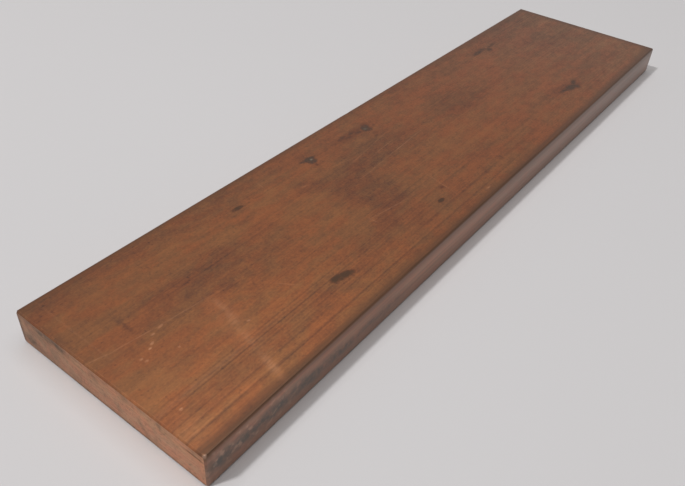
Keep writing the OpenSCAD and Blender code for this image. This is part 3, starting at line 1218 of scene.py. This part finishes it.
# Tarnish of a sawn end: browner to the left, clouded, streaked by the saw and mottled
LEFT_BROWN = Fade(-30.0, 30.0, 0.0, 0.28)
CLOUD_GRAIN = Grain(0.16, 3.0, 0.6)
CLOUD_SHARE = Fade(0.45, 0.75, 0.0, 0.3)
SAW_SPREAD = (20.0, 7.0, 0.35)
SAW_STREAK_SEED = 19.0
SAW_SHARE = Fade(0.45, 0.75, 0.0, 0.32)
MOTTLE_GRAIN = Grain(1.1, 4.0, 0.7)
MOTTLE_SHARE = Fade(0.48, 0.74, 0.0, 0.55)
END_CAST_SPREAD = (5.0, 4.0, 3.0)
END_CAST_SEED = 43.0
# Yellower copper towards the top of an end
END_TOP_CAST = (1.03, 1.0, 0.91)
END_TOP_HEIGHT = Fade(5.0, 11.0)
# Stains and painted foot shade, fainter on the far end, and a brown top edge that comes and goes with the
# clouds
END_MARK_GRAIN = Grain(0.6, 4.0, 0.7)
END_MARK_BREAKS = 3.0
END_MARK_FADE = Fade(-100.0, 100.0, 1.0, 0.35)
TOP_BROWN = Fade(THICKNESS - 3.6, THICKNESS - 0.4, 0.0, 0.32)
TOP_BROWN_UNEVEN = Fade(0.35, 0.6, 0.3, 1.0)
# What saw streaks, stains and painted foot shade change in an end's roughness and metal, and the depth of
# its bump
SAW_ROUGHNESS = 0.2
END_MARK_METAL = -0.1
END_BUMP = 0.015


def sawn_end(finish, groups):
    """A sawn end: paler copper with fine saw streaks across it, and dark stains and painted foot shade on
    the near one.
    """
    face = CopperFace("sawn_copper", groups, finish, "Y", "Z")
    streak = face.streaks(SAW_SPREAD, SAW_STREAK_SEED)
    cloud = face.noise(face.place, CLOUD_GRAIN)
    mottle = face.noise(face.place, MOTTLE_GRAIN)
    base = face.blend(face.over("Y", LEFT_BROWN), finish.sawn_copper, finish.end_stain)
    base = face.blend(face.fade(cloud, *CLOUD_SHARE), base, finish.brown_tarnish)
    base = face.blend(face.fade(streak, *SAW_SHARE), base, finish.brown_tarnish)
    base = face.blend(face.fade(mottle, *MOTTLE_SHARE), base, finish.end_stain)
    base = face.with_cast(base, END_CAST_SPREAD, END_CAST_SEED)
    base = face.blend(face.over("Z", END_TOP_HEIGHT), base, END_TOP_CAST, "MULTIPLY")
    # Stains, with painted shade along the foot where the end meets the floor
    stains = face.math("MULTIPLY", face.marks(END_STAINS_AND_FOOT_SHADE), face.breaks(END_MARK_GRAIN, END_MARK_BREAKS))
    stains = face.math("MULTIPLY", stains, face.over("X", END_MARK_FADE), clamp=True)
    base = face.blend(stains, base, finish.end_stain)
    top_brown = face.math("MULTIPLY", face.over("Z", TOP_BROWN), face.fade(cloud, *TOP_BROWN_UNEVEN))
    base = face.blend(top_brown, base, finish.end_stain)
    # Painted highlight at the near right top corner
    base = face.with_knock(base, SIDE_HIGHLIGHT_REACH)
    roughness = face.math("MULTIPLY_ADD", streak, SAW_ROUGHNESS, COPPER_ROUGHNESS)
    metallic = face.math("MULTIPLY_ADD", stains, END_MARK_METAL, 1.0)
    return face.end(base, roughness, metallic, streak, END_BUMP)


# Seeds of the two broad faces' patterns
TOP_PATTERN_SEED = 1.0
UNDERSIDE_PATTERN_SEED = 31.0


class FLATBAR_OT_make_bar(bpy.types.Operator):
    """Make the bar's dressed surface in place of its plain solid"""

    bl_idname = "flat_bar.make_bar"
    bl_label = "Make Bar"

    def execute(self, context):
        """Builds the surface and its materials, and ties it to the frame."""
        scene = context.scene
        piece = new_mesh_object("copper_flat_bar", *bar_surface(scene.bar_shape))
        groups = {"stain": stain_group(), "break": break_group(), "streak": streak_group(),
                  "cast": cast_group(), "corner": corner_group(), "end_edge": end_edge_group(),
                  "knock": corner_highlight_group()}
        finish = scene.bar_finish
        materials = (
            broad_face("top_copper", finish, groups, TOP_PATTERN_SEED, TOP_LINES, True),
            narrow_edge(finish, groups),
            broad_face("underside_copper", finish, groups, UNDERSIDE_PATTERN_SEED, UNDERSIDE_LINES, False),
            sawn_end(finish, groups),
        )
        for material in materials:
            piece.data.materials.append(material)
        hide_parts(NODE)
        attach(piece, "root")
        return {"FINISHED"}


# The two lamps: the way to each from the bar's middle, and its distance in metres
KEY_WAY = (-8.0, 3.6, 12.7)
KEY_DISTANCE = 3.0
OVERHEAD_WAY = (0.0, 0.0, 1.0)
OVERHEAD_DISTANCE = 1.6

# The floor: half its width in metres, its faint clouds and their tone, its surface, and where it fades out
FLOOR_REACH = 4.0
FLOOR_GRAIN = Grain(0.004, 2.0, 0.5)
FLOOR_CLOUD_TONE = 0.97
FLOOR_ROUGHNESS = 0.7
FLOOR_SHINE = 0.2
FLOOR_FADE = Fade(300.0, 800.0)

# The camera: its place, the point on the floor that it aims at, and its roll in degrees
CAMERA_PLACE = (-221.61, -118.15, 160.32)
CAMERA_AIM = (-60.77, -4.65, 0.0)
CAMERA_ROLL = 3.76
# The width of its sensor, and the nearest distance that it sees, in metres
SENSOR_WIDTH = 36.0
CAMERA_NEAREST = 0.01


def seen_rays(wires):
    """1 on rays that see or mirror a thing, and 0 on rays that only carry its light."""
    path = wires.put("ShaderNodeLightPath").outputs
    seen = wires.math("MAXIMUM", path["Is Camera Ray"], path["Is Glossy Ray"])
    return wires.math("MAXIMUM", seen, path["Is Transmission Ray"])


def make_floor(look):
    """A pale floor far wider than the view, faintly clouded. Far from the bar it fades to the sky's tone."""
    corners = [(x * FLOOR_REACH, y * FLOOR_REACH, 0) for x, y in ((-1, -1), (1, -1), (1, 1), (-1, 1))]
    mesh = bpy.data.meshes.new("floor")
    mesh.from_pydata(corners, [], [(0, 1, 2, 3)])
    floor = bpy.data.objects.new("floor", mesh)
    bpy.context.scene.collection.objects.link(floor)
    material = new_material("pale_floor")
    wires = Wiring(material.node_tree)
    place = wires.bar_place()
    clouded = tuple(FLOOR_CLOUD_TONE * part for part in look.floor_colour)
    base = wires.blend(wires.noise(place, FLOOR_GRAIN), look.floor_colour, clouded)
    plain = {"Base Color": base, "Roughness": FLOOR_ROUGHNESS, "Specular IOR Level": FLOOR_SHINE}
    near = wires.put("ShaderNodeBsdfPrincipled", plain)
    far = wires.put("ShaderNodeEmission", {"Color": colour(look.floor_colour)})
    fade = wires.math("MULTIPLY", wires.fade(wires.distance(place), *FLOOR_FADE), seen_rays(wires))
    surface = wires.put("ShaderNodeMixShader", {0: fade, 1: near.outputs[0], 2: far.outputs[0]})
    wires.put("ShaderNodeOutputMaterial", {"Surface": surface.outputs[0]})
    mesh.materials.append(material)


def make_sky(scene, look):
    """Even light from all round. Seen or mirrored, it is as pale as the floor."""
    world = bpy.data.worlds.new("studio_sky")
    world.use_nodes = True
    world.node_tree.nodes.clear()
    wires = Wiring(world.node_tree)
    tone = wires.blend(seen_rays(wires), (look.sky_level,) * 3, look.floor_colour)
    light = wires.put("ShaderNodeBackground", {"Color": tone, "Strength": 1.0})
    wires.put("ShaderNodeOutputWorld", {"Surface": light.outputs[0]})
    scene.world = world


def make_lamp(scene, name, way, distance, size, power):
    """One soft square lamp that stands off the bar's middle along a way, and is turned to it."""
    lamp = bpy.data.lights.new(name, "AREA")
    lamp.shape = "SQUARE"
    lamp.size = size
    lamp.energy = power
    holder = bpy.data.objects.new(name, lamp)
    scene.collection.objects.link(holder)
    from_bar = Vector(way).normalized()
    holder.location = from_bar * distance
    holder.rotation_euler = from_bar.to_track_quat("Z", "Y").to_euler()


def make_camera(scene, look):
    """The camera, aimed at a point on the floor and rolled about its own view."""
    place, aim = Vector(CAMERA_PLACE) * MM, Vector(CAMERA_AIM) * MM
    data = bpy.data.cameras.new("camera")
    data.sensor_fit = "HORIZONTAL"
    data.sensor_width = SENSOR_WIDTH
    data.lens = look.lens
    data.clip_start = CAMERA_NEAREST
    camera = bpy.data.objects.new("camera", data)
    scene.collection.objects.link(camera)
    camera.location = place
    turn = (aim - place).to_track_quat("-Z", "Y") @ Quaternion((0, 0, 1), math.radians(CAMERA_ROLL))
    camera.rotation_euler = turn.to_euler()
    scene.camera = camera


class FLATBAR_OT_make_stage(bpy.types.Operator):
    """Make the pale floor, the soft light and the camera"""

    bl_idname = "flat_bar.make_stage"
    bl_label = "Make Stage"

    def execute(self, context):
        """Builds the stage around the bar."""
        scene = context.scene
        look = scene.bar_studio
        make_floor(look)
        make_sky(scene, look)
        make_lamp(scene, "soft_key", KEY_WAY, KEY_DISTANCE, look.key_size, look.key_power)
        make_lamp(
            scene, "overhead", OVERHEAD_WAY, OVERHEAD_DISTANCE, look.overhead_size, look.overhead_power,
        )
        make_camera(scene, look)
        scene.view_settings.view_transform = "Standard"
        return {"FINISHED"}


class VIEW3D_PT_flat_bar(bpy.types.Panel):
    """Sizes, colours and buttons of the bar"""

    bl_label = "Copper Flat Bar"
    bl_space_type = "VIEW_3D"
    bl_region_type = "UI"
    bl_category = "Flat Bar"

    def draw(self, context):
        """Lists each group's values and the two buttons."""
        scene = context.scene
        for values in (scene.bar_shape, scene.bar_finish, scene.bar_studio):
            box = self.layout.box()
            for name in values.__annotations__:
                box.prop(values, name)
        self.layout.operator(FLATBAR_OT_make_bar.bl_idname)
        self.layout.operator(FLATBAR_OT_make_stage.bl_idname)


CLASSES = (BarShape, BarFinish, StudioLook, FLATBAR_OT_make_bar, FLATBAR_OT_make_stage, VIEW3D_PT_flat_bar)


def register():
    """Registers the classes and gives the scene its values."""
    for entry in CLASSES:
        bpy.utils.register_class(entry)
    bpy.types.Scene.bar_shape = PointerProperty(type=BarShape)
    bpy.types.Scene.bar_finish = PointerProperty(type=BarFinish)
    bpy.types.Scene.bar_studio = PointerProperty(type=StudioLook)


def unregister():
    """Takes the values and the classes away again."""
    del bpy.types.Scene.bar_studio
    del bpy.types.Scene.bar_finish
    del bpy.types.Scene.bar_shape
    for entry in reversed(CLASSES):
        bpy.utils.unregister_class(entry)


def main():
    """Makes the bar and its stage."""
    register()
    bpy.ops.flat_bar.make_bar()
    bpy.ops.flat_bar.make_stage()


if __name__ == "__main__":
    main()
